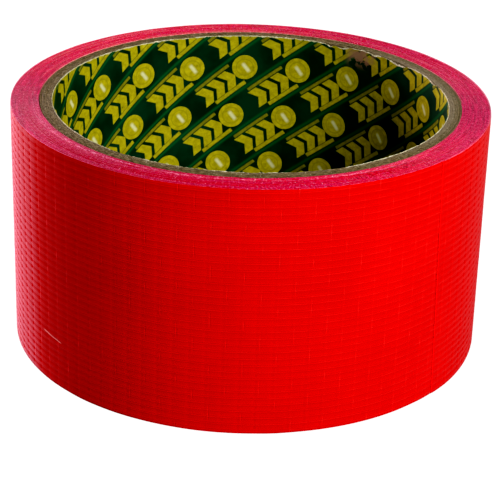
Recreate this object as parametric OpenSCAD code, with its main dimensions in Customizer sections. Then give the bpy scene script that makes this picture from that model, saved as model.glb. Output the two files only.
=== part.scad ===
// Duct tape roll: cloth-backed tape wound in one continuous spiral on a plied paper core.
// The roll stands on one flat end. The origin is the centre of the bore on that end.

/* [Core] */
// Diameter of the bore, inside the printed liner
bore_d = 76.2; // [25.4:0.1:80]
// Thickness of the printed paper liner
liner_t = 0.1; // [0.05:0.01:0.3]
// Thickness of the core's wall, liner included
core_wall = 2.5; // [1.5:0.1:6]
// Number of kraft paper plies outside the liner
core_plies = 5; // [2:1:8]
// Thickness of the glue film between neighbouring plies
glue_t = 0.02; // [0.005:0.005:0.05]

/* [Wound tape] */
// Width of the tape and of the core
roll_w = 48; // [19:1:100]
// Number of whole turns on the core
turns = 36; // [4:1:60]
// Thickness of the adhesive, on the tape's inner face
adhesive_t = 0.05; // [0.03:0.01:0.1]
// Thickness of the woven scrim inside the tape
scrim_t = 0.04; // [0.02:0.01:0.08]
// Thickness of the coated film on the tape's outer face
film_t = 0.05; // [0.03:0.01:0.1]

/* [Loose end] */
// Angle round the roll that the loose end covers, past the last whole turn
end_sweep = 40; // [20:1:90]
// Angle round the roll of each of the two short lengths that bend as the end peels
bend_sweep = 5; // [3:0.5:8]
// Slit at each bending line
slit = 0.02; // [0.01:0.01:0.1]
// Clearance between the loose end and the turn that it lies on
end_lift = 0.02; // [0.01:0.01:0.1]

/* [Hidden] */
$fn = 180;
core_r = bore_d / 2 + core_wall;
// Each ply is followed by one glue film.
ply_pitch = (core_wall - liner_t) / core_plies;

// Spacing between bonded layers, and between one turn and the next
bond = 0.002;
turn_gap = 0.004;
// Radial growth in one turn
pitch = adhesive_t + scrim_t + film_t + 2 * bond + turn_gap;

// The tape's layers from its inner face outwards: name, thickness, height above the inner face, colour
layers = ["adhesive", "scrim", "film"];
layer_t = [adhesive_t, scrim_t, film_t];
layer_at = [0, adhesive_t + bond, adhesive_t + scrim_t + 2 * bond];
layer_colour = [[0.86, 0.62, 0.6], [0.9, 0.85, 0.8], [0.85, 0.03, 0.02]];

// The winding is a chain of half turns, drawn in turn about two centres this far
// to either side of the bore's axis, so that each half turn starts where the last one ends.
centre_x = pitch / 4;
start_r = core_r + glue_t / 2 + centre_x;

// Radius of the loose end's inner face, and the angles between which each of its lengths lies
end_r = start_r + turns * pitch + end_lift;
end_names = ["root", "bend", "flap"];
end_starts = [0, bend_sweep, 2 * bend_sweep];
end_stops = [bend_sweep, 2 * bend_sweep, end_sweep];

// A paper tube as wide as the roll
module tube(inner_r, wall) {
    difference() {
        cylinder(r = inner_r + wall, h = roll_w);
        translate([0, 0, -1]) cylinder(r = inner_r, h = roll_w + 2);
    }
}

// Part of a ring as wide as the roll, from angle a to angle a + sweep
module arc_strip(inner_r, t, a, sweep) {
    rotate([0, 0, a])
        rotate_extrude(angle = sweep) translate([inner_r, 0]) square([t, roll_w]);
}

// Turns first to last of one layer of the wound tape, counted from 0 at the core.
// Seen from above, each turn runs clockwise and starts and ends on the +X side.
module turns_of(layer, first, last) {
    color(layer_colour[layer])
        for (k = [first:last]) {
            r = start_r + layer_at[layer] + k * pitch;
            translate([-centre_x, 0, 0]) arc_strip(r, layer_t[layer], 180, 180);
            translate([centre_x, 0, 0]) arc_strip(r + pitch / 2, layer_t[layer], 0, 180);
        }
}

// One layer of the tape on the core, up to the turn under the outermost one
module inner_turns(layer) {
    turns_of(layer, 0, turns - 2);
}

// One layer of the outermost whole turn, from which the loose end runs on
module outer_turn(layer) {
    turns_of(layer, turns - 1, turns - 1);
}

// One layer of one length of the loose end. Its near edge stands half a slit past the bending line.
module loose_end(i, layer) {
    half_slit = slit / 2 / end_r * 180 / PI;
    a = end_starts[i] + half_slit;
    b = end_stops[i] - (i < len(end_stops) - 1 ? half_slit : 0);
    color(layer_colour[layer]) translate([-centre_x, 0, 0])
        arc_strip(end_r + layer_at[layer], layer_t[layer], -b, b - a);
}

// Printed paper wall of the bore
module core_liner() {
    color([0.03, 0.12, 0.05]) tube(bore_d / 2, liner_t);
}

// Kraft ply number i, counted from 1 next to the liner
module core_ply(i) {
    inner_r = bore_d / 2 + liner_t + glue_t + (i - 1) * ply_pitch;
    color([0.5, 0.42, 0.3]) tube(inner_r, ply_pitch - glue_t);
}

core_liner();
for (i = [1:core_plies]) {
    core_ply(i);
}
for (j = [0:len(layers) - 1]) {
    inner_turns(j);
    outer_turn(j);
}
for (i = [0:len(end_names) - 1]) for (j = [0:len(layers) - 1]) {
    loose_end(i, j);
}
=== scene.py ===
"""A roll of red cloth-backed tape on a plied paper core, standing on one end. Its outer end can peel."""
import math

import bpy
import numpy as np
from mathutils import Matrix, Vector


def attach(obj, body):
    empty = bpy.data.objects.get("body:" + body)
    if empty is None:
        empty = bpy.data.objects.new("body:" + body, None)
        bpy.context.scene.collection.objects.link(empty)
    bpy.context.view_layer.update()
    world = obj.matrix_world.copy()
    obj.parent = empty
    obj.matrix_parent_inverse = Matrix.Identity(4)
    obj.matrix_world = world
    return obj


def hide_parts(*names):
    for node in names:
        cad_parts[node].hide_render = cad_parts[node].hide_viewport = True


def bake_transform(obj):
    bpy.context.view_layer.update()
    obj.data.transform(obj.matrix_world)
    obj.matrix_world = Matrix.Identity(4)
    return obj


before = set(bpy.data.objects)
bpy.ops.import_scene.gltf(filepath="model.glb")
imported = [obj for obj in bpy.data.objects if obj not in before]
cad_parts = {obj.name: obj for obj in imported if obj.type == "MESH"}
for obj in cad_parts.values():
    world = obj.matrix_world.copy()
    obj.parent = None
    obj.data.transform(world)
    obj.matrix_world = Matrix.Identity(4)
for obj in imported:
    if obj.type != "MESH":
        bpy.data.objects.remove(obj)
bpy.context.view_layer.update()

# ---------------------------------------- sizes, in millimetres
MM = 0.001
WIDTH = 48.0            # tape width, and the roll's height as it stands
BORE_R = 38.1           # inside the printed liner
LINER_T = 0.1
GLUE_T = 0.02           # glue film between neighbouring plies
PLIES = 5
PLY_PITCH = 0.48        # one ply and its glue film
TURNS = 36              # whole turns of tape on the core
PITCH = 0.148           # radial growth in one turn
CENTRE_X = 0.037        # the half turns are drawn about two centres, this far either side of the axis
START_R = 40.647        # inner face of the first half turn
END_LIFT = 0.02         # clearance between the loose end and the turn it lies on
VISUAL_LIFT = 0.02      # it stands this much higher here, clear of the threads under it
LAYERS = {              # height above the tape's inner face, and thickness
    "adhesive": (0.0, 0.05),
    "scrim": (0.052, 0.04),
    "film": (0.094, 0.05),
}
RECESS = {"adhesive": 0.02, "scrim": 0.03, "film": 0.0}     # how far its edges lie inside the film's
END_LENGTHS = ("root", "bend", "flap")      # the loose end's three lengths, each hinged to the last
END_STOPS = (5.0, 10.0, 40.0)   # where they stop, in degrees past the last whole turn
SLIT = 0.02             # slit between two of those lengths
END_R = 46.0            # radius at which the slits are measured
CUT_MIDDLE_Z = 17.0     # height at which the cut stands at the last of the angles above
CUT_SLANT = 0.048       # degrees that the cut leans by, per millimetre of height
CUT_SHORT = {"adhesive": 0.95, "scrim": 0.9, "film": 0.0}   # degrees by which a layer stops early there
WINDING_SEED = 61       # random numbers of the slit edges, the same for all of the tape

# ---------------------------------------- the cloth under the film
THREAD_ROWS = 36                    # threads along the tape, side by side across its width
ROW = WIDTH / THREAD_ROWS
THREAD_COLUMNS = 192                # threads across the tape in one outer turn
TURN_LENGTH = 289.0                 # of the outermost turn
COLUMN = TURN_LENGTH / THREAD_COLUMNS
PAIR = 2 * COLUMN                   # the cross threads lie in pairs
FLOAT_EVERY = 7                     # a cross thread comes to the surface once in this many rows
DIMPLE_SIDE = 1 / 6                 # the film dips beside each pair, this share of a pair's spacing away
SCRATCH = ((110.5, 9.5), (116.0, 10.1))     # its two ends: distance along the tape, place across it

# how far the film's outer face rises or falls over the cloth, in millimetres
ROW_RISE = 0.080                    # over a thread row
COLUMN_RISE = 0.012                 # over a cross thread, between the rows
FLOAT_RISE = 0.030                  # over a cross thread that lies on the surface
DIMPLE_DEPTH = 0.080
SCRATCH_DEPTH = 0.020
RELIEF_MEAN = 0.035                 # taken off again, so that the wall keeps its radius


# ======================================== numbers
def fade(x):
    """Smooth step of x, which is clipped to 0..1."""
    x = np.clip(x, 0.0, 1.0)
    return x * x * (3 - 2 * x)


def lattice_noise(seed, x, y, wrap=4096):
    """Smooth noise between -1 and 1. It repeats in x after `wrap` cells and in y after 64."""
    table = np.random.RandomState(seed).uniform(-1, 1, (wrap, 64))
    x, y = np.broadcast_arrays(np.asarray(x, float), np.asarray(y, float))
    xi, yi = np.floor(x).astype(int), np.floor(y).astype(int)
    fx, fy = fade(x - xi), fade(y - yi)
    a, b = table[xi % wrap, yi % 64], table[(xi + 1) % wrap, yi % 64]
    c, d = table[xi % wrap, (yi + 1) % 64], table[(xi + 1) % wrap, (yi + 1) % 64]
    return (a * (1 - fx) + b * fx) * (1 - fy) + (c * (1 - fx) + d * fx) * fy


def bump_at(theta, middle, half_width):
    """1 at the angle `middle`, falling smoothly to 0 at half_width either side. All in degrees."""
    away = np.abs((np.asarray(theta) - middle + 180) % 360 - 180)
    return fade(1 - away / half_width)


# ======================================== meshes
def add_piece(name, vertices_mm, faces, materials, smooth_deg=None):
    """A mesh object from points in millimetres. faces holds (corner indices, material index)."""
    mesh = bpy.data.meshes.new(name)
    mesh.from_pydata((np.asarray(vertices_mm) * MM).tolist(), [], [f for f, _ in faces])
    for material in materials:
        mesh.materials.append(material)
    mesh.polygons.foreach_set("material_index", [m for _, m in faces])
    if smooth_deg is not None:
        mesh.polygons.foreach_set("use_smooth", [True] * len(faces))
        mesh.set_sharp_from_angle(angle=math.radians(smooth_deg))
    obj = bpy.data.objects.new(name, mesh)
    bpy.context.scene.collection.objects.link(obj)
    return obj


def swept(name, points, along, across, materials, kinds, closed, smooth_deg=35, extra=None,
          cap_kind=1):
    """A solid swept from a closed profile.

    points is (stations, profile points, 3), kinds the material index of each profile side, and along
    and across the two UV coordinates in millimetres. A closed sweep joins its last station to its
    first, and an open one gets a cap at each end. extra is more (points, faces) to add to the mesh.
    """
    n_u, n_p, _ = points.shape
    steps = n_u if closed else n_u - 1
    i = np.repeat(np.arange(steps), n_p)
    j = np.tile(np.arange(n_p), steps)
    i2, j2 = (i + 1) % n_u, (j + 1) % n_p
    quads = np.stack([i * n_p + j, i2 * n_p + j, i2 * n_p + j2, i * n_p + j2], 1)
    faces = list(zip(quads.tolist(), np.asarray(kinds)[j].tolist()))
    if closed:
        along = np.append(along, 2 * along[-1] - along[-2])
        across = np.concatenate([across, across[:1]])
    u = np.stack([along[i], along[i + 1], along[i + 1], along[i]], 1)
    rows = np.minimum(i + 1, len(across) - 1)
    v = np.stack([across[i, j], across[rows, j], across[rows, j2], across[i, j2]], 1)
    uv = [np.stack([u, v], 2).reshape(-1, 2)]
    if not closed:
        last = (n_u - 1) * n_p
        for base, station, order in ((0, 0, range(n_p)), (last, n_u - 1, range(n_p - 1, -1, -1))):
            faces.append(([base + k for k in order], cap_kind))
            uv.append(np.array([[along[station], across[station, k]] for k in order]))
    vertices = points.reshape(-1, 3)
    if extra is not None:
        more, more_faces, kind = extra
        faces += [([k + len(vertices) for k in f], kind) for f in more_faces]
        uv += [np.array([[more[k][0], more[k][2]] for k in f]) for f in more_faces]
        vertices = np.concatenate([vertices, more])
    obj = add_piece(name, vertices, faces, materials, smooth_deg)
    layer = obj.data.uv_layers.new(name="strip")
    layer.data.foreach_set("uv", np.concatenate(uv).astype(np.float32).ravel())
    return obj


# ======================================== the tape's winding
def winding(turn):
    """Centre x, radius of the tape's inner face and direction angle after so many turns."""
    half = np.floor(2 * np.asarray(turn) + 1e-9)
    centre = np.where(half % 2 == 0, -CENTRE_X, CENTRE_X)
    return centre, START_R + half * PITCH / 2, -2 * math.pi * np.asarray(turn)


def on_tape(turn, height, z):
    """Points this high above the tape's inner face. The arrays broadcast to (stations, points)."""
    centre, radius, angle = winding(turn)
    r = radius[:, None] + height
    x = centre[:, None] + r * np.cos(angle)[:, None]
    y = r * np.sin(angle)[:, None]
    return np.stack(np.broadcast_arrays(x, y, z), 2)


def strip_profile(thickness, rows, inner_rows=1, bevel=0.012):
    """One strip's closed cross-section: heights above its inner face, places across and side kinds.

    Kind 0 is a face of the tape and kind 1 a slit edge.
    """
    outer = np.linspace(bevel, WIDTH - bevel, rows + 1)
    inner = np.linspace(WIDTH - bevel, bevel, inner_rows + 1)
    z = np.concatenate([outer, [WIDTH], inner, [0.0]])
    h = np.concatenate([np.full(rows + 1, thickness), [thickness / 2], np.zeros(inner_rows + 1),
                        [thickness / 2]])
    kinds = [0] * rows + [1, 1] + [0] * inner_rows + [1, 1]
    return h, z, kinds


def along_tape(turn):
    """Distance along the tape in millimetres, nought where the outermost turn starts."""
    return (np.asarray(turn) - (TURNS - 1)) * TURN_LENGTH


CUT_U = float(along_tape(TURNS + END_STOPS[2] / 360))       # where the cut is


# ======================================== relief of the cloth
def float_table():
    """How strongly each cross thread comes to the surface at each row: (pairs, rows), 0 to 1."""
    rng = np.random.RandomState(11)
    shorter = 0.7       # strength at the next row, where a float is long enough to reach it
    pairs = THREAD_COLUMNS // 2
    table = np.zeros((pairs, THREAD_ROWS + 1))
    for c in range(pairs):
        first = (3 * c + rng.randint(0, 2)) % FLOAT_EVERY
        for r in range(first, THREAD_ROWS, FLOAT_EVERY):
            strength = rng.uniform(0.45, 0.85)
            table[c, r] = strength
            if rng.rand() < 0.45:
                table[c, r + 1] = strength * shorter
    return table


FLOATS = float_table()


def cross_float(u, v):
    """0 to 1 where a cross thread lies on the surface, for a place on the tape."""
    pair = np.floor(u / PAIR + 0.5).astype(int)
    row = v / ROW - 0.5
    below = np.clip(np.floor(row).astype(int), 0, THREAD_ROWS - 1)
    part = fade(row - below)
    here = FLOATS[pair % FLOATS.shape[0], below]
    above = FLOATS[pair % FLOATS.shape[0], np.minimum(below + 1, THREAD_ROWS - 1)]
    side = np.abs(u / PAIR - pair) * PAIR
    return (here * (1 - part) + above * part) * fade(1.15 - side / 0.5)


def cloth_relief(u, v):
    """Height of the film's outer face above its mean, in millimetres, over the threads under it."""
    wander = 0.05 * lattice_noise(3, u / 9.0, v / 4.0)
    off_row = (v / ROW + wander) % 1.0 - 0.5
    row = 1 - (2 * np.abs(off_row)) ** 2.4
    column = 0.5 + 0.5 * np.cos(2 * math.pi * u / COLUMN)
    uneven = 1 + 0.14 * lattice_noise(5, u / 6.0, v / ROW)
    slack = 0.012 * lattice_noise(7, u / 14.0, v / 11.0)
    beside = (u / PAIR + 0.5 - DIMPLE_SIDE) % 1.0 - 0.5
    dimple = fade(1 - np.abs(beside) * PAIR / 0.60) * (1 - 0.6 * row)
    return (ROW_RISE * row * uneven + COLUMN_RISE * column * (1 - row) + FLOAT_RISE * cross_float(u, v)
            - DIMPLE_DEPTH * dimple - SCRATCH_DEPTH * scratch(u, v) - RELIEF_MEAN + slack)


def scratch(u, v):
    """1 in the bottom of the one shallow scratch on the wall."""
    (u0, v0), (u1, v1) = SCRATCH
    t = (u - u0) / (u1 - u0)
    return fade(1 - np.abs(v - v0 - (v1 - v0) * t) / 0.35) * fade(t * 5) * fade((1 - t) * 5)


# ======================================== node building
class Graph:
    """Short calls for building one material's nodes."""

    def __init__(self, name):
        self.material = bpy.data.materials.new(name)
        self.material.use_nodes = True
        self.tree = self.material.node_tree
        self.tree.nodes.clear()
        self.output = self.tree.nodes.new("ShaderNodeOutputMaterial")

    def feed(self, socket, value):
        if isinstance(value, bpy.types.NodeSocket):
            self.tree.links.new(value, socket)
        else:
            socket.default_value = value

    def node(self, kind, out=0, inputs=(), **settings):
        made = self.tree.nodes.new(kind)
        for key, value in settings.items():
            setattr(made, key, value)
        for key, value in dict(inputs).items():
            self.feed(made.inputs[key], value)
        return made.outputs[out]

    def math(self, operation, *values, clamp=False):
        return self.node("ShaderNodeMath", inputs=enumerate(values), operation=operation,
                         use_clamp=clamp)

    def plus(self, a, b, clamp=False):
        return self.math("ADD", a, b, clamp=clamp)

    def minus(self, a, b):
        return self.math("SUBTRACT", a, b)

    def times(self, a, b):
        return self.math("MULTIPLY", a, b)

    def over(self, a, b):
        return self.math("DIVIDE", a, b)

    def largest(self, a, b):
        return self.math("MAXIMUM", a, b)

    def from_line(self, value):
        """How far value is from the middle between two whole numbers."""
        return self.math("ABSOLUTE", self.minus(self.math("FRACT", value), 0.5))

    def ramp(self, value, low, high):
        """0 at low and 1 at high, smooth between. low may be above high."""
        return self.node("ShaderNodeMapRange", inputs={0: value, 1: low, 2: high},
                         interpolation_type="SMOOTHSTEP")

    def near(self, value, middle, full, gone):
        """1 where value is within `full` of the middle, 0 from `gone` outwards."""
        return self.ramp(self.math("ABSOLUTE", self.minus(value, middle)), gone, full)

    def within(self, value, low, high, soft=0.16):
        """1 where value lies between low and high, with soft edges."""
        return self.times(self.ramp(value, low - soft, low + soft),
                          self.ramp(value, high + soft, high - soft))

    def mix(self, factor, a, b):
        return self.node("ShaderNodeMix", out=2, inputs={0: factor, 6: a, 7: b}, data_type="RGBA")

    def tint(self, colour, mask, amount, other):
        """The colour, mixed by mask times amount with the other one."""
        return self.mix(self.times(mask, amount), colour, other)

    def noise(self, vector, scale, detail=3.0, rough=0.55):
        return self.node("ShaderNodeTexNoise", inputs={
            "Vector": vector, "Scale": scale, "Detail": detail, "Roughness": rough})

    def combine(self, x, y, z=0.0):
        return self.node("ShaderNodeCombineXYZ", inputs={0: x, 1: y, 2: z})

    def split(self, vector):
        made = self.tree.nodes.new("ShaderNodeSeparateXYZ")
        self.feed(made.inputs[0], vector)
        return made.outputs

    def bump(self, height, distance, strength=1.0):
        return self.node("ShaderNodeBump", inputs={
            "Height": height, "Distance": distance, "Strength": strength})

    def surface(self, **sockets):
        """The material's shader. Socket names are given with _ for a space."""
        shader = self.tree.nodes.new("ShaderNodeBsdfPrincipled")
        for key, value in sockets.items():
            self.feed(shader.inputs[key.replace("_", " ")], value)
        self.tree.links.new(shader.outputs[0], self.output.inputs[0])
        return self.material

    def strip_place(self):
        """Distance along the strip and place across it, in millimetres."""
        return self.split(self.node("ShaderNodeUVMap", uv_map="strip"))[:2]

    def round_place(self):
        """Radius and height in millimetres, and the angle round the roll in degrees."""
        x, y, z = self.split(self.node("ShaderNodeTexCoord", out=3))
        radius = self.math("SQRT", self.plus(self.times(x, x), self.times(y, y)))
        angle = self.times(self.math("ARCTAN2", y, x), 180 / math.pi)
        return self.times(radius, 1000.0), self.times(z, 1000.0), angle


def rgb(r, g, b):
    return (r, g, b, 1.0)


# ======================================== materials
FILM_REDS = rgb(0.47, 0.0012, 0.0010), rgb(0.515, 0.0016, 0.0012)
FILM_DIMPLE_SHADE = rgb(0.30, 0.0003, 0.0008)
FILM_THREAD_AND_HIGHLIGHT = rgb(0.80, 0.030, 0.026)
FILM_SCRATCH = rgb(0.90, 0.26, 0.24)
FILM_CUT_LIFT = rgb(0.62, 0.004, 0.004)      # painted lighter just before the cut, to offset the shade of the step there
FILM_HAZE_TINT = rgb(0.92, 0.80, 0.98)
HAZE, LEFT_HAZE = 0.09, 0.44            # sheen of the film, and how much more is painted onto a stretch at the roll's left, for a brighter highlight along that edge
LEFT_HAZE_FULL, LEFT_HAZE_GONE = 23.0, 28.5       # half the length of that stretch of extra sheen, on the roll's left


def film_material():
    """Red plastic film on cloth: ridges over the threads, paler where a thread lies close under it and
    where a painted highlight lies along the ridges.
    """
    g = Graph("red_film")
    u, v = g.strip_place()
    place = g.combine(u, v)

    # the threads: each of these is 1 on the thread or in the dimple that it names
    wander = g.times(g.minus(g.noise(place, 0.12, 2.0), 0.5), 0.16)
    row = g.plus(g.over(v, ROW), wander)
    off_row = g.from_line(row)
    row_line = g.ramp(off_row, 0.12, 0.0)
    half_line = g.ramp(g.from_line(g.times(row, 2.0)), 0.30, 0.0)
    pair = g.plus(g.over(u, PAIR), 0.5)
    off_pair = g.from_line(pair)
    pair_line = g.ramp(off_pair, 0.055, 0.0)
    pair_thread = g.ramp(off_pair, 0.10, 0.0)
    off_dimple = g.from_line(g.minus(pair, DIMPLE_SIDE))
    dimple = g.times(g.ramp(off_dimple, 0.11, 0.02), g.ramp(off_row, 0.24, 0.44))
    floats = g.node("ShaderNodeAttribute", out=2, attribute_name="thread")
    dash = g.times(floats, pair_line)
    broken = g.ramp(g.noise(g.combine(g.times(u, 0.28), g.times(row, 3.1)), 1.0, 2.0), 0.30, 0.62)
    lines = g.times(row_line, broken)

    # colour
    # paler over the threads: the thread under the film, and a painted highlight along its ridge
    light = g.plus(g.times(dash, 0.75), g.times(lines, 0.62))
    light = g.plus(light, g.times(pair_thread, 0.18), clamp=True)
    colour = g.mix(g.ramp(g.noise(place, 0.05, 4.0), 0.3, 0.7), *FILM_REDS)
    # painted shade in the dimples
    colour = g.tint(colour, dimple, 0.10, FILM_DIMPLE_SHADE)
    colour = g.tint(colour, light, 0.45, FILM_THREAD_AND_HIGHLIGHT)
    colour = g.mix(scratch_mark(g, u, v), colour, FILM_SCRATCH)
    # painted light just before the cut, against the step's shade
    colour = g.mix(g.ramp(u, CUT_U - 0.40, CUT_U - 0.15), colour, FILM_CUT_LIFT)

    # relief too fine for the mesh
    yarn = g.noise(g.combine(u, g.times(v, 9.0)), 1.3, 3.0)
    fine = g.noise(place, 3.2, 4.0, 0.6)
    rounded = g.minus(1.0, g.math("POWER", g.times(off_row, 2.0), 2.4))
    height = dash
    for part, share in ((row_line, 0.5), (half_line, 0.10), (rounded, 0.15), (dimple, -0.3),
                        (yarn, 0.22), (fine, 0.25)):
        height = g.plus(height, g.times(part, share))

    # gloss: the dimples and the valleys between the rows stay dull
    rough = g.node("ShaderNodeMapRange", inputs={0: fine, 1: 0.3, 2: 0.7, 3: 0.36, 4: 0.48})
    in_dimple = g.times(g.ramp(off_dimple, 0.15, 0.06), g.ramp(off_row, 0.14, 0.32))
    in_valley = g.times(g.ramp(off_row, 0.28, 0.46), 0.75)
    bright = g.minus(1.0, g.largest(in_dimple, in_valley))
    # extra sheen painted on the roll's left, for a brighter highlight along that edge
    haze_left = g.near(u, TURN_LENGTH / 2, LEFT_HAZE_FULL, LEFT_HAZE_GONE)
    haze = g.plus(g.times(haze_left, LEFT_HAZE), HAZE)
    return g.surface(Base_Color=colour, Roughness=rough, Specular_IOR_Level=g.times(bright, 0.05),
                     Sheen_Weight=g.times(bright, haze), Sheen_Roughness=0.28,
                     Sheen_Tint=FILM_HAZE_TINT, Normal=g.bump(height, 0.00005))


def scratch_mark(g, u, v):
    """The scratch's colour mask, over the same line as its groove."""
    (u0, v0), (u1, v1) = SCRATCH
    line = g.plus(g.times(g.minus(u, u0), (v1 - v0) / (u1 - u0)), v0)
    away = g.math("ABSOLUTE", g.minus(v, line))
    mark = g.times(g.ramp(away, 0.22, 0.05), g.within(u, u0, u1, 0.5))
    return g.times(mark, g.times(g.noise(g.combine(u, v), 2.0), 1.6))


# Places on the ring of slit edges: a middle, how far from it they are full, and how far they reach.
# Angles are in degrees, with the camera's side at -90, and radii in millimetres.
RING_FRONT_SHADE = (-88.0, 25.0, 70.0)
RING_LEFT = (-130.0, 40.0, 75.0)
RING_MIDDLE_R = (43.6, 0.5, 1.5)
HIGHLIGHT_STREAKS = (-122.0, 10.0, 66.0), (-60.0, 6.0, 26.0)
HIGHLIGHT_STREAKS_R = (41.7, 0.1, 0.60)
PITTED_SHADE = (-55.0, 4.0, 14.0)
PITTED_SHADE_R = (43.2, 0.5, 1.6)
RING_RIM_HIGHLIGHT = (45.80, 45.95)               # radii between which the outermost edge gets a painted highlight


def slit_edge_material(name, dark, light, pale):
    """The cut edge of one of the tape's layers: streaks that run round the roll, pale specks, painted
    shade on the camera's side and in pits, and painted highlights near the core and along the outermost
    edge.
    """
    g = Graph(name)
    radius, _, angle = g.round_place()
    turn = g.over(radius, PITCH)
    streak = g.noise(g.combine(g.times(turn, 0.50), g.times(angle, 0.13)), 1.0, 4.0, 0.65)
    speck = g.noise(g.combine(g.times(radius, 3.6), g.times(angle, 2.7)), 1.0, 3.0, 0.7)
    grain = g.noise(g.combine(g.times(radius, 1.5), g.times(angle, 2.0)), 1.0, 3.0, 0.75)
    blot = g.noise(g.combine(g.times(radius, 1.1), angle), 1.0, 4.0, 0.7)
    highlight_noise = g.noise(g.combine(g.times(turn, 0.9), g.times(angle, 0.5)), 1.0, 4.0, 0.75)

    # broad differences round the ring: painted shade on the camera's side, and a darker stretch of
    # middle turns on the left
    front_shade = g.near(angle, *RING_FRONT_SHADE)
    middle = g.times(g.near(radius, *RING_MIDDLE_R), g.near(angle, *RING_LEFT))
    colour = g.mix(g.ramp(streak, 0.36, 0.64), dark, light)
    colour = g.tint(colour, front_shade, 0.55, rgb(0.30, 0.003, 0.040))
    colour = g.tint(colour, middle, 0.6, rgb(0.34, 0.002, 0.038))

    # pale marks: painted highlight streaks near the core, pale specks, and a painted highlight along the
    # outermost edge
    side = g.largest(g.near(angle, *HIGHLIGHT_STREAKS[0]), g.near(angle, *HIGHLIGHT_STREAKS[1]))
    streak_highlight = g.times(g.times(g.near(radius, *HIGHLIGHT_STREAKS_R), side), g.ramp(highlight_noise, 0.46, 0.60))
    # fewer pale specks where the painted shade lies
    sparkle = g.times(g.ramp(speck, 0.54, 0.70), g.minus(0.50, g.times(front_shade, 0.36)))
    # painted highlight along the outermost edge
    rim_highlight = g.times(g.ramp(radius, *RING_RIM_HIGHLIGHT), 0.5)
    colour = g.mix(g.largest(g.plus(streak_highlight, sparkle, clamp=True), rim_highlight), colour, pale)

    # grain, and painted shade in the pits
    colour = g.tint(colour, g.ramp(speck, 0.42, 0.26), 0.55, rgb(0.22, 0.001, 0.02))
    colour = g.tint(colour, g.ramp(grain, 0.53, 0.66), 0.36, pale)
    colour = g.tint(colour, g.ramp(grain, 0.48, 0.36), 0.60, rgb(0.13, 0.001, 0.022))
    # painted shade in the pits of the dented edges
    pits = g.times(g.near(angle, *PITTED_SHADE), g.near(radius, *PITTED_SHADE_R))
    colour = g.mix(g.times(pits, g.ramp(blot, 0.50, 0.44)), colour, rgb(0.035, 0.001, 0.006))
    height = g.plus(streak, g.times(g.plus(speck, grain), 0.8))
    return g.surface(Base_Color=colour, Roughness=0.6, Specular_IOR_Level=0.06,
                     Normal=g.bump(height, 0.00022))


def thread_grid(g, u, v, row_half, column_half, core):
    """1 on the middle of each thread of the cloth, 0 beyond half its width."""
    return g.largest(g.ramp(g.from_line(g.over(v, ROW)), row_half, core),
                     g.ramp(g.from_line(g.over(u, COLUMN)), column_half, core))


def adhesive_material():
    """Tacky rubber adhesive with the cloth's threads printed through it."""
    g = Graph("adhesive_face")
    u, v = g.strip_place()
    place = g.combine(u, v)
    grid = thread_grid(g, u, v, 0.22, 0.20, 0.02)
    cloud = g.noise(place, 0.4, 4.0)
    colour = g.mix(g.ramp(cloud, 0.35, 0.65), rgb(0.50, 0.13, 0.11), rgb(0.60, 0.20, 0.17))
    colour = g.tint(colour, grid, 0.45, rgb(0.70, 0.42, 0.36))
    height = g.plus(g.times(grid, 0.6), g.noise(place, 2.5, 4.0))
    return g.surface(Base_Color=colour, Roughness=0.36, Specular_IOR_Level=0.4,
                     Normal=g.bump(height, 0.00004, 0.8))


def scrim_material():
    """Woven cloth, seen where the tape's layers part."""
    g = Graph("scrim_cloth")
    u, v = g.strip_place()
    grid = thread_grid(g, u, v, 0.22, 0.22, 0.05)
    twist = g.noise(g.combine(g.times(u, 5.0), g.times(v, 5.0)), 1.0, 3.0)
    colour = g.mix(grid, rgb(0.42, 0.10, 0.10), rgb(0.80, 0.62, 0.55))
    colour = g.tint(colour, twist, 0.3, rgb(0.5, 0.3, 0.26))
    return g.surface(Base_Color=colour, Roughness=0.85, Specular_IOR_Level=0.2,
                     Normal=g.bump(g.plus(grid, twist), 0.00004, 0.8))


CORE_ARC = 0.665        # millimetres round the core for each degree
GREY_SIDE = (8.0, 20.0, 62.0)           # middle angle, how far it is full and how far it reaches


def kraft_material(name, dark, light, grey_side):
    """Grey-brown board: short fibres that lie round the core, specks, and a greyer side."""
    g = Graph(name)
    radius, z, angle = g.round_place()
    around = g.times(angle, CORE_ARC)
    fibres = g.noise(g.combine(g.times(around, 1.1), g.times(z, 6.0), g.times(radius, 6.0)),
                     1.0, 5.0, 0.65)
    stubble = g.noise(g.combine(g.times(around, 4.5), g.times(z, 2.0), g.times(radius, 1.6)),
                      1.0, 3.0, 0.6)
    blot = g.noise(g.combine(g.times(around, 0.25), g.times(z, 0.25), radius), 1.0, 2.0)
    colour = g.mix(g.ramp(fibres, 0.42, 0.60), dark, light)
    colour = g.tint(colour, g.near(angle, *GREY_SIDE), 0.5, grey_side)
    colour = g.tint(colour, g.ramp(blot, 0.45, 0.7), 0.3, rgb(0.09, 0.07, 0.04))
    colour = g.tint(colour, g.ramp(stubble, 0.42, 0.28), 0.6, rgb(0.025, 0.018, 0.008))
    colour = g.tint(colour, g.ramp(stubble, 0.60, 0.76), 0.5, rgb(0.50, 0.46, 0.33))
    height = g.plus(fibres, g.times(stubble, 0.8))
    return g.surface(Base_Color=colour, Roughness=0.9, Specular_IOR_Level=0.05,
                     Normal=g.bump(height, 0.00016))


def paper_material():
    """The liner's unprinted back and torn edge."""
    g = Graph("paper_edge")
    radius, z, angle = g.round_place()
    fibres = g.noise(g.combine(g.times(angle, 2.0), g.times(z, 3.0), radius), 1.0, 5.0, 0.65)
    colour = g.mix(g.ramp(fibres, 0.35, 0.65), rgb(0.16, 0.14, 0.07), rgb(0.55, 0.52, 0.36))
    return g.surface(Base_Color=colour, Roughness=0.9, Specular_IOR_Level=0.15,
                     Normal=g.bump(fibres, 0.00008, 0.8))


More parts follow.
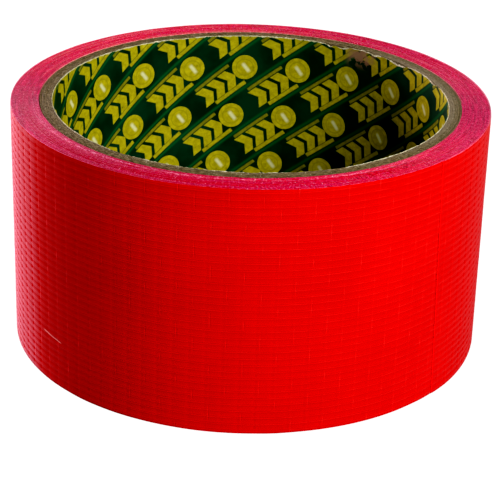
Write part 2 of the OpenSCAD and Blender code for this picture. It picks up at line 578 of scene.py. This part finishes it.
# The printed pattern is made of generic marks: three arrowheads between two rules, and a ringed disc.
# Places within a mark are in millimetres along the slope (p) and across it (q).
TILES = 21                          # marks round the bore in one level row
PRINT_STEP = 11.4                   # from one mark to the next in a level row
PRINT_RISE = (14.1, 10.9)           # from one mark to the next along the slope
SLOPE = math.atan2(PRINT_RISE[1], PRINT_RISE[0])
MARK_PITCH = math.hypot(*PRINT_RISE)
LINE_PITCH = PRINT_STEP * math.sin(SLOPE)
LINE_SHIFT = PRINT_STEP * math.cos(SLOPE)
HEAD_START = 2.2                    # p of the first arrowhead
HEAD_PITCH = 2.95                   # from one arrowhead to the next
HEAD_BAND = (0.27, 2.33)            # the inked part of that pitch
HEAD_LEAN = 0.62                    # how far an arrowhead leans back for each millimetre of q
RULE_P, RULE_Q = (1.6, 10.6), (2.30, 2.95)
LOW_RULE_P, LOW_RULE_Q = (3.4, 11.2), (-2.95, -2.15)
DISC_PLACE, DISC_R = (13.1, 0.15), 2.70
RING_BAND = (1.70, 1.90)            # radii of the thin ring on the disc
SCUFF = (-35.6, 1.5, 4.8)           # middle, full and faded half lengths of a rubbed place at the top
SCUFF_Z = (43.0, 46.0)              # it fades in between these heights


def print_place(g):
    """Place on the liner (u, v) and within one printed mark (p, q), in millimetres."""
    u, v = g.strip_place()
    u = g.times(u, -1.0)                # seen from inside, the angle round the bore grows to the left
    p = g.plus(g.times(u, math.cos(SLOPE)), g.times(v, math.sin(SLOPE)))
    q = g.minus(g.times(v, math.cos(SLOPE)), g.times(u, math.sin(SLOPE)))
    line = g.math("FLOOR", g.plus(g.over(q, LINE_PITCH), 0.5))
    q = g.minus(q, g.times(line, LINE_PITCH))
    p = g.plus(p, g.times(line, LINE_SHIFT))
    return u, v, g.times(g.math("FRACT", g.over(p, MARK_PITCH)), MARK_PITCH), q


def print_ink(g, p, q):
    """The printed marks' masks: all their ink, the disc's thin ring, and a pale patch on the disc,
    partly print and partly a painted highlight.
    """
    rise = g.math("ABSOLUTE", q)
    lean = g.plus(p, g.times(rise, HEAD_LEAN))
    cell = g.over(g.minus(lean, HEAD_START), HEAD_PITCH)
    cell = g.times(g.math("FRACT", cell), HEAD_PITCH)
    heads = g.times(g.within(cell, *HEAD_BAND),
                    g.within(lean, HEAD_START, HEAD_START + 3 * HEAD_PITCH))
    heads = g.times(heads, g.ramp(rise, 2.2, 1.95))
    rule = g.times(g.within(q, *RULE_Q), g.within(p, *RULE_P))
    low_rule = g.times(g.within(q, *LOW_RULE_Q), g.within(p, *LOW_RULE_P))
    dx, dy = g.minus(p, DISC_PLACE[0]), g.minus(q, DISC_PLACE[1])
    away = g.math("SQRT", g.plus(g.times(dx, dx), g.times(dy, dy)))
    disc = g.ramp(away, DISC_R + 0.10, DISC_R - 0.10)
    ring = g.times(g.within(away, *RING_BAND, 0.15), disc)
    disc_highlight = g.times(g.times(g.within(dx, -0.2, 0.5, 0.3), g.within(dy, -1.3, 0.9, 0.4)), disc)
    ink = g.largest(g.largest(heads, disc), g.times(low_rule, 0.9))
    return g.largest(ink, g.times(rule, 0.5)), ring, disc_highlight


def print_material():
    """Dark green paper printed with rising rows of yellow marks."""
    g = Graph("printed_liner")
    u, v, p, q = print_place(g)
    place = g.combine(u, v)
    ink, ring, disc_highlight = print_ink(g, p, q)
    wear = g.noise(place, 0.9, 5.0, 0.65)
    mottle = g.noise(place, 0.55, 4.0)
    ink = g.times(ink, g.ramp(wear, 0.22, 0.36))

    green = g.mix(g.ramp(g.noise(place, 0.14, 3.0), 0.35, 0.65), rgb(0.0015, 0.015, 0.006),
                  rgb(0.003, 0.026, 0.012))
    stripe = g.within(g.math("ABSOLUTE", q), LINE_PITCH / 2 - 0.30, LINE_PITCH, 0.30)
    green = g.tint(green, stripe, 0.8, rgb(0.006, 0.060, 0.018))
    yellow = g.mix(g.ramp(wear, 0.35, 0.70), rgb(0.205, 0.178, 0.006), rgb(0.31, 0.27, 0.010))
    yellow = g.tint(yellow, g.ramp(mottle, 0.50, 0.68), 0.5, rgb(0.24, 0.21, 0.005))
    yellow = g.tint(yellow, ring, 0.8, rgb(0.16, 0.15, 0.006))
    # pale patch on each disc: print and a painted highlight
    yellow = g.tint(yellow, disc_highlight, 0.7, rgb(0.50, 0.52, 0.30))
    colour = g.mix(ink, green, yellow)

    fray = g.times(g.minus(g.noise(g.combine(u, 0.0), 0.7, 5.0, 0.7), 0.5), 1.6)
    torn = g.ramp(g.plus(v, fray), WIDTH - 0.40, WIDTH - 0.20)
    colour = g.mix(torn, colour, rgb(0.36, 0.34, 0.20))
    scuff = g.times(g.times(g.near(u, *SCUFF), g.ramp(v, *SCUFF_Z)), g.ramp(mottle, 0.40, 0.52))
    colour = g.tint(colour, scuff, 0.85, rgb(0.21, 0.12, 0.075))
    return g.surface(Base_Color=colour, Roughness=0.55, Specular_IOR_Level=0.05,
                     Normal=g.bump(g.plus(wear, ink), 0.00003, 0.6))


FLOOR_WHITE = 0.96      # the floor's glow as the camera sees it
FLOOR_GLOW = 0.22       # and as it lights the roll


def floor_material():
    """A pale sweep that shows as plain white, as in a product shot. It lights the roll a little."""
    g = Graph("floor_white")
    seen = g.node("ShaderNodeLightPath", out=0)
    glow = g.plus(FLOOR_GLOW, g.times(seen, FLOOR_WHITE - FLOOR_GLOW))
    mottle = g.noise(g.node("ShaderNodeTexCoord", out=3), 3.0, 2.0)
    colour = g.mix(mottle, rgb(0.08, 0.08, 0.08), rgb(0.09, 0.09, 0.09))
    return g.surface(Base_Color=colour, Roughness=0.9, Specular_IOR_Level=0.0,
                     Emission_Color=rgb(1.0, 1.0, 1.0), Emission_Strength=glow)


# ======================================== the core
WALL_ROWS = (0.02, 0.06, 0.25, 0.5, 0.75, 0.94, 0.98)   # heights of a paper tube's points, as shares


def ring_solid(name, inner_r, thickness, ragged, materials, stations, top_points=5, wave=0.0):
    """A tube as wide as the roll, whose ends are crumbled by ragged(angle in degrees, share, end).

    The first material is that of its inner wall, and the last that of its other faces.
    """
    angle = np.linspace(0, 2 * math.pi, stations, endpoint=False)
    degrees = np.degrees(angle)
    share = list(np.linspace(0, 1, top_points))
    outer = [(1.0, 0.0)] + [(1.0, w) for w in WALL_ROWS] + [(1.0, 1.0)]
    inner = [(0.0, 1.0)] + [(0.0, w) for w in WALL_ROWS[::-1]] + [(0.0, 0.0)]
    profile = (outer + [(s, 1.0) for s in share[::-1][1:-1]] + inner
               + [(s, 0.0) for s in share[1:-1]])
    points = np.zeros((stations, len(profile), 3))
    ends = {(s, e): ragged(degrees, s, e) for s in share for e in (0, 1)}
    for k, (s, up) in enumerate(profile):
        low, high = ends[(s, 0)], WIDTH - ends[(s, 1)]
        z = low + (high - low) * up
        r = inner_r + s * thickness + wave * lattice_noise(77, degrees / 6.0, up * 5.0, 60)
        points[:, k] = np.stack([r * np.cos(angle), r * np.sin(angle), z], 1)
    sides = len(profile)
    wall = [profile[k][0] == 0.0 and profile[(k + 1) % sides][0] == 0.0 for k in range(sides)]
    kinds = [0 if inside else len(materials) - 1 for inside in wall]
    along = degrees / 360 * TILES * PRINT_STEP
    return swept(name, points, along, points[:, :, 2], materials, kinds, True, smooth_deg=30)


def end_drop(seed, coarse, fine, edge, tears):
    """How far a paper tube's end stands below the roll's end: uneven, with rounded or torn edges."""
    def drop(angle, share, end):
        rough = lattice_noise(seed + end, angle / 360 * 48, share * 2.0, 48)
        small = lattice_noise(seed + 7 + end, angle / 360 * 480, share * 4.0, 480)
        rounding = edge * (2 * abs(share - 0.5)) ** 3
        out = 0.05 + coarse * (0.5 + 0.5 * rough) + fine * (0.5 + 0.5 * small) + rounding
        for middle, half_width, depth, top_only in tears:
            torn = 0.6 + 0.4 * lattice_noise(seed + 19, angle / 360 * 200, share * 3.0, 200)
            if end or not top_only:
                out = out + depth * bump_at(angle, middle, half_width) * torn
        return out
    return drop


# Torn and crushed places of the paper ends: middle angle, half width, depth and "only at the top".
LINER_TEARS = [(62, 9, 0.9, True), (48, 6, 0.5, True), (38, 8, 1.1, True), (18, 7, 0.7, True),
               (-8, 5, 0.5, True), (-128, 10, 0.25, True), (-70, 14, 0.3, True), (110, 12, 0.25, True)]
INNER_PLY_TEARS = [(55, 12, 0.35, True), (-60, 8, 0.12, False)]
EDGE_ROUNDING = {1: 0.07, PLIES: 0.16}      # of the innermost and outermost ply
PLY_ROUNDING = 0.04                         # and of those between


def build_liner(printed, paper):
    """Printed paper wall of the bore, with its top edge torn in places."""
    drop = end_drop(101, 0.10, 0.14, 0.0, LINER_TEARS)
    obj = ring_solid("liner_print", BORE_R, LINER_T, drop, [printed, paper], 960, 3, wave=0.02)
    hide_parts("core_liner")
    return obj


def build_ply(number, material):
    """One kraft ply. The innermost one is crushed a little more than the rest."""
    inner = BORE_R + LINER_T + GLUE_T + (number - 1) * PLY_PITCH
    tears = INNER_PLY_TEARS if number == 1 else [(50 * number, 9, 0.08, False)]
    drop = end_drop(200 + 20 * number, 0.07, 0.10, EDGE_ROUNDING.get(number, PLY_ROUNDING), tears)
    obj = ring_solid(f"core_ply_{number}_board", inner, PLY_PITCH - GLUE_T, drop, [material], 720)
    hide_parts(f"core_ply_{number}")
    return obj


# ======================================== the wound tape
# Places where some turns stand proud at the upper end: angle and its half width in degrees, turn and
# half width in turns, and share of PROUD_RISE.
PROUD = ((292, 26, 11.5, 2.2, 0.9), (245, 55, 7.5, 2.5, 0.55))
PROUD_RISE = 0.13
DUG = (303, 13, 18.0, 6.0)          # and one where the edges are pitted
DUG_DEPTH = 0.08


def end_heights(turn):
    """Heights of the slit edge at the roll's lower and upper end, per station."""
    theta = (-360.0 * turn) % 360
    slow = lattice_noise(WINDING_SEED, turn * 7.0, 0.3)
    quick = lattice_noise(WINDING_SEED + 1, turn * 61.0, 0.6)
    per_turn = lattice_noise(WINDING_SEED + 2, np.floor(turn), 0.5)
    top = 0.09 + 0.045 * slow + 0.030 * quick + 0.045 * per_turn
    proud = sum(bump_at(theta, angle, spread) * bump_in(turn, middle, turns) * share
                for angle, spread, middle, turns, share in PROUD)
    pits = lattice_noise(WINDING_SEED + 3, turn * 130.0, 0.2)
    dug = bump_at(theta, *DUG[:2]) * bump_in(turn, *DUG[2:]) * fade((pits - 0.25) * 3)
    return 0.05 + 0.04 * quick, WIDTH - top + PROUD_RISE * proud - DUG_DEPTH * dug


def bump_in(turn, middle, half_width):
    """1 at the turn `middle`, falling smoothly to 0 at half_width either side."""
    return fade(1 - np.abs(turn - middle) / half_width)


def wound_points(turn, layer, profile, relief=None, lift=0.0):
    """Points of one layer of tape from station to station, and their heights."""
    height, z, _ = profile
    low, high = end_heights(turn)
    share, recess = z / WIDTH, RECESS[layer]
    z_here = (low + recess)[:, None] * (1 - share) + (high - recess)[:, None] * share
    at, thickness = LAYERS[layer]
    h = np.broadcast_to(height, z_here.shape).copy()
    if relief is not None:
        outside = height > thickness * 0.9
        h[:, outside] += relief[:, outside]
    return on_tape(turn, at + h + np.reshape(lift, (-1, 1)), z_here), z_here


THREAD_FOOT = 0.12      # how deep a thread end's foot stands in the cloth
THREAD_TIP = 0.35       # half width of its tip, as a share of its foot's width


def thread_ends():
    """Cut ends of the cross threads, standing a little proud of the upper slit edge, as small wedges."""
    rng = np.random.RandomState(WINDING_SEED)
    turns = np.arange(0, TURNS - 1, 1 / THREAD_COLUMNS)
    turns = turns[rng.rand(len(turns)) < 0.33]
    turns = turns + rng.uniform(-0.001, 0.001, len(turns))
    at, thickness = LAYERS["scrim"]
    centre, radius, angle = winding(turns)
    _, high = end_heights(turns)
    length = rng.uniform(0.15, 0.45, len(turns))
    tall = rng.uniform(0.01, 0.07, len(turns))
    lean = rng.uniform(-0.04, 0.04, len(turns))
    points, faces = [], []
    for c, r, a, top, w, t, s in zip(centre, radius, angle, high, length, tall, lean):
        out = np.array([math.cos(a), math.sin(a), 0.0])
        side = np.array([-math.sin(a), math.cos(a), 0.0])
        foot = np.array([c, 0.0, 0.0]) + out * (r + at)
        base = len(points)
        for along, up in ((-w / 2, -THREAD_FOOT), (w / 2, -THREAD_FOOT),
                          (w * THREAD_TIP, t), (-w * THREAD_TIP, t)):
            for deep in (0.0, thickness):
                spread = s if up > 0 else 0.0
                points.append(foot + out * (deep + spread) + side * along
                              + np.array([0, 0, top + up]))
        faces += [[base + k for k in f] for f in ((0, 2, 4, 6), (1, 7, 5, 3), (0, 1, 3, 2),
                                                  (2, 3, 5, 4), (4, 5, 7, 6), (6, 7, 1, 0))]
    return np.array(points), faces


INNER_STATIONS = {"film": 256, "scrim": 128, "adhesive": 160}       # per turn
FILM_ROWS = 4 * THREAD_ROWS         # faces across the film where its relief shows


def build_inner_turns(layer, materials):
    """One layer of the tape on the core, up to the turn under the outermost one."""
    turn = np.linspace(0, TURNS - 1, (TURNS - 1) * INNER_STATIONS[layer] + 1)
    profile = strip_profile(LAYERS[layer][1], 1)
    points, across = wound_points(turn, layer, profile)
    extra = (*thread_ends(), 1) if layer == "scrim" else None
    obj = swept(f"inner_turns_{layer}_wound", points, along_tape(turn), across, materials,
                profile[2], False, extra=extra)
    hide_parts(f"inner_turns_{layer}")
    return obj


def end_rise(turn):
    """The outermost turn rises near its end to meet the loose end."""
    return (END_LIFT + VISUAL_LIFT) * fade(1 - (TURNS - turn) * 360 / 14)


def build_outer_turn(layer, materials):
    """One layer of the outermost whole turn."""
    film = layer == "film"
    stations = THREAD_COLUMNS * 3 if film else 288
    turn = np.linspace(TURNS - 1, TURNS, stations + 1)
    profile = strip_profile(LAYERS[layer][1], FILM_ROWS if film else 1)
    u = along_tape(turn)
    relief = cloth_relief(u[:, None], profile[1][None, :]) if film else None
    points, across = wound_points(turn, layer, profile, relief, end_rise(turn))
    obj = swept(f"outer_turn_{layer}_wound", points, u, across, materials, profile[2], False)
    if film:
        mark_threads(obj, np.broadcast_to(u[:, None], across.shape),
                     np.broadcast_to(profile[1], across.shape))
    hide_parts(f"outer_turn_{layer}")
    return obj


def mark_threads(obj, u, v):
    """Stores on each vertex how strongly a cross thread shows there, for the film's colour."""
    pair = np.floor(u / PAIR + 0.5).astype(int) % FLOATS.shape[0]
    row = np.clip(v / ROW - 0.5, 0, THREAD_ROWS - 1)
    below = np.floor(row).astype(int)
    part = fade((row - below) * 1.6 - 0.3)
    above = np.minimum(below + 1, THREAD_ROWS - 1)
    shown = FLOATS[pair, below] * (1 - part) + FLOATS[pair, above] * part
    attribute = obj.data.attributes.new("thread", "FLOAT", "POINT")
    attribute.data.foreach_set("value", shown.astype(np.float32).ravel())


def build_loose_end(name, layer, materials):
    """One layer of one length of the loose end. The last length stops at the slanting cut."""
    index = END_LENGTHS.index(name)
    is_flap = name == "flap"
    half_slit = math.degrees(SLIT / 2 / END_R)
    start = ((0.0,) + END_STOPS)[index] + half_slit
    stop = END_STOPS[index] - (0.0 if is_flap else half_slit)
    film = layer == "film"
    rows = FILM_ROWS if film else THREAD_ROWS
    per_degree = 1.9 if film else 1.0
    turn = TURNS + end_stations(start, stop, max(8, round((stop - start) * per_degree)), is_flap) / 360
    profile = strip_profile(LAYERS[layer][1], rows, inner_rows=rows)
    u = np.broadcast_to(along_tape(turn)[:, None], (len(turn), len(profile[1]))).copy()
    relief = cloth_relief(u, profile[1][None, :]) if film else None
    points, across = wound_points(turn, layer, profile, relief, pressed_lift(turn, layer))
    if is_flap:
        slant_cut(points, turn, across, layer)
    obj = swept(f"end_{name}_{layer}_strip", points, along_tape(turn), across, materials,
                profile[2], False, cap_kind=0 if film else 1)
    if film:
        mark_threads(obj, u, np.broadcast_to(profile[1], across.shape))
    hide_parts(f"end_{name}_{layer}")
    return obj


PRESSED = (34.0, 5.0)       # the end is pressed down from this angle, over so many degrees
PRESSED_SHARE = 0.9         # of its lift
CUT_PRESS = 0.080           # how far the film comes down at its cut
CUT_PRESS_ARC = 0.75        # degrees over which it does, which end CUT_PRESS_ROOM short of the cut
CUT_PRESS_ROOM = 0.05


def pressed_lift(turn, layer):
    """How far the loose end stands off the turn under it. It is pressed down towards its cut, where
    the film closes over the layers under it."""
    degrees = (turn - TURNS) * 360
    lift = (END_LIFT + VISUAL_LIFT) * (1 - PRESSED_SHARE * fade((degrees - PRESSED[0]) / PRESSED[1]))
    if layer == "film":
        start = END_STOPS[2] - CUT_PRESS_ROOM - CUT_PRESS_ARC
        lift = lift - CUT_PRESS * fade((degrees - start) / CUT_PRESS_ARC)
    return lift


CUT_STATIONS = 8            # stations in the last CUT_FINE degrees, after a step from CUT_COARSE
CUT_FINE, CUT_COARSE = 0.9, 1.3


def end_stations(start, stop, count, is_flap):
    """Angles of the stations of one length, closer together where the film turns down at the cut."""
    if not is_flap:
        return np.linspace(start, stop, count + 1)
    return np.concatenate([np.linspace(start, stop - CUT_COARSE, count),
                           np.linspace(stop - CUT_FINE, stop, CUT_STATIONS)])


def slant_cut(points, turn, z, layer):
    """Turns the flap's points about the roll so that its end is cut on a slant, a little unevenly."""
    degrees = (turn - TURNS) * 360
    kept = END_STOPS[1] + 2.0           # the flap keeps its shape up to this angle
    near_end = fade((degrees - kept) / (END_STOPS[2] - kept))[:, None]
    uneven = 0.05 * lattice_noise(41, z[-1] / 0.9, 0.5)[None, :]
    shift = np.radians((CUT_SLANT * (z - CUT_MIDDLE_Z) - CUT_SHORT[layer] + uneven) * near_end)
    x, y = points[:, :, 0] + CENTRE_X, points[:, :, 1].copy()
    points[:, :, 0] = x * np.cos(shift) + y * np.sin(shift) - CENTRE_X
    points[:, :, 1] = y * np.cos(shift) - x * np.sin(shift)


def bend_at(obj):
    """Bakes one length of the loose end's placement into its mesh."""
    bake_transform(obj)


# ======================================== build
def build_core():
    kraft = kraft_material("kraft_board", rgb(0.036, 0.026, 0.011), rgb(0.122, 0.090, 0.043),
                           rgb(0.092, 0.080, 0.045))
    kraft_inner = kraft_material("kraft_board_inner", rgb(0.042, 0.031, 0.014),
                                 rgb(0.135, 0.102, 0.053), rgb(0.135, 0.120, 0.080))
    pieces = [build_liner(print_material(), paper_material())]
    pieces += [build_ply(k, kraft_inner if k <= 2 else kraft) for k in range(1, PLIES + 1)]
    for obj in pieces:
        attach(obj, "roll")


EDGE_COLOURS = {        # dark, light and pale
    "film": ((0.19, 0.001, 0.022), (0.52, 0.005, 0.066), (0.80, 0.15, 0.30)),
    "scrim": ((0.23, 0.004, 0.048), (0.60, 0.032, 0.135), (0.88, 0.56, 0.64)),
    "adhesive": ((0.21, 0.002, 0.036), (0.55, 0.012, 0.098), (0.84, 0.32, 0.46)),
}


def build_tape():
    faces = {"film": film_material(), "scrim": scrim_material(), "adhesive": adhesive_material()}
    for layer, face in faces.items():
        dark, light, pale = EDGE_COLOURS[layer]
        edge = slit_edge_material(f"{layer}_edge", rgb(*dark), rgb(*light), rgb(*pale))
        for build in (build_inner_turns, build_outer_turn):
            obj = build(layer, [face, edge])
            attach(obj, "roll")
        for name in END_LENGTHS:
            obj = build_loose_end(name, layer, [face, edge])
            bend_at(obj)


# ======================================== camera, lights, floor
CAMERA_ELEVATION = 24.764       # degrees above the floor
CAMERA_ROLL = 1.691
CAMERA_DISTANCE = 0.362692
CAMERA_TARGET = Vector((0.000696, 0.0, 0.015455))
CAMERA_LENS = 130.35
LIGHTS_LOOK_AT = Vector((0, 0, 0.02))
PINK = (1.0, 0.80, 0.92)
LIGHTS = (      # name, azimuth, elevation, distance, width and height in metres, watts, colour
    ("key", 42, 38, 0.7, (0.35, 0.35), 9.0, (1, 1, 1)),
    ("top", 0, 88, 0.8, (0.6, 0.6), 0.8, (1, 1, 1)),
    ("rim_left", -128, 15, 0.7, (0.25, 0.35), 11.5, PINK),
    ("edge_left", -160, 4, 0.7, (0.30, 0.10), 6.0, PINK),
)
ROOM_DIM, ROOM_BRIGHT = 0.30, 0.40          # how strongly the room lights the roll
ROOM_BRIGHT_SIDE = (-0.5, 0.866, 0.0)       # direction of its brightest part, behind and to the left
FLOOR_HALF = 3000.0                         # half the floor's side, in millimetres
TONE_CURVE = ((0.012, 0.001), (0.035, 0.014), (0.10, 0.080), (0.25, 0.245))


def build_camera():
    data = bpy.data.cameras.new("camera")
    data.lens, data.sensor_width = CAMERA_LENS, 36.0
    data.clip_start, data.clip_end = 0.01, 50.0
    camera = bpy.data.objects.new("camera", data)
    bpy.context.scene.collection.objects.link(camera)
    e = math.radians(CAMERA_ELEVATION)
    back = Vector((0, -math.cos(e), math.sin(e)))
    upright = back.to_track_quat("Z", "Y").to_matrix()
    turn = Matrix.Rotation(math.radians(CAMERA_ROLL), 3, "Z")
    camera.matrix_world = Matrix.Translation(CAMERA_TARGET + back * CAMERA_DISTANCE) @ (
        upright @ turn).to_4x4()
    bpy.context.scene.camera = camera


def area_light(name, azimuth, elevation, distance, size, power, colour):
    """A soft box that looks at the roll. Azimuth 0 is the camera's side and 90 its right."""
    data = bpy.data.lights.new(name, "AREA")
    data.shape, data.size, data.size_y = "RECTANGLE", size[0], size[1]
    data.energy, data.color = power, colour
    light = bpy.data.objects.new(name, data)
    bpy.context.scene.collection.objects.link(light)
    a, e = math.radians(azimuth), math.radians(elevation)
    away = Vector((math.sin(a) * math.cos(e), -math.cos(a) * math.cos(e), math.sin(e)))
    light.location = LIGHTS_LOOK_AT + away * distance
    light.rotation_mode = "QUATERNION"
    light.rotation_quaternion = away.to_track_quat("Z", "Y")
    light.visible_camera = False


def build_world():
    """A room that is brightest behind the roll and to its left. The camera sees it as plain white."""
    world = bpy.data.worlds.new("room")
    world.use_nodes = True
    bpy.context.scene.world = world
    tree = world.node_tree
    background = tree.nodes["Background"]
    place = tree.nodes.new("ShaderNodeTexCoord")
    facing = tree.nodes.new("ShaderNodeVectorMath")
    facing.operation = "DOT_PRODUCT"
    facing.inputs[1].default_value = ROOM_BRIGHT_SIDE
    strength = tree.nodes.new("ShaderNodeMapRange")
    strength.interpolation_type = "SMOOTHSTEP"
    for key, value in ((1, 0.55), (2, 1.0), (3, ROOM_DIM), (4, ROOM_BRIGHT)):
        strength.inputs[key].default_value = value
    seen = tree.nodes.new("ShaderNodeLightPath")
    brightest = tree.nodes.new("ShaderNodeMath")
    brightest.operation = "MAXIMUM"
    tree.links.new(place.outputs["Generated"], facing.inputs[0])
    tree.links.new(facing.outputs["Value"], strength.inputs[0])
    tree.links.new(strength.outputs[0], brightest.inputs[0])
    tree.links.new(seen.outputs["Is Camera Ray"], brightest.inputs[1])
    tree.links.new(brightest.outputs[0], background.inputs["Strength"])
    background.inputs["Color"].default_value = (1, 1, 1, 1)


def build_floor():
    corners = [(x * FLOOR_HALF, y * FLOOR_HALF, 0) for x, y in ((-1, -1), (1, -1), (1, 1), (-1, 1))]
    obj = add_piece("floor", corners, [([0, 1, 2, 3], 0)], [floor_material()])


def set_tone_curve(view_settings):
    """A contrasty print: the deepest shades go darker, the rest stays."""
    view_settings.use_curve_mapping = True
    mapping = view_settings.curve_mapping
    mapping.initialize()
    for x, y in TONE_CURVE:
        mapping.curves[3].points.new(x, y)
    mapping.update()


def build_studio():
    build_camera()
    build_world()
    build_floor()
    for light in LIGHTS:
        area_light(*light)
    scene = bpy.context.scene
    scene.view_settings.view_transform = "Standard"
    scene.view_settings.look = "None"
    set_tone_curve(scene.view_settings)


build_studio()
build_core()
build_tape()
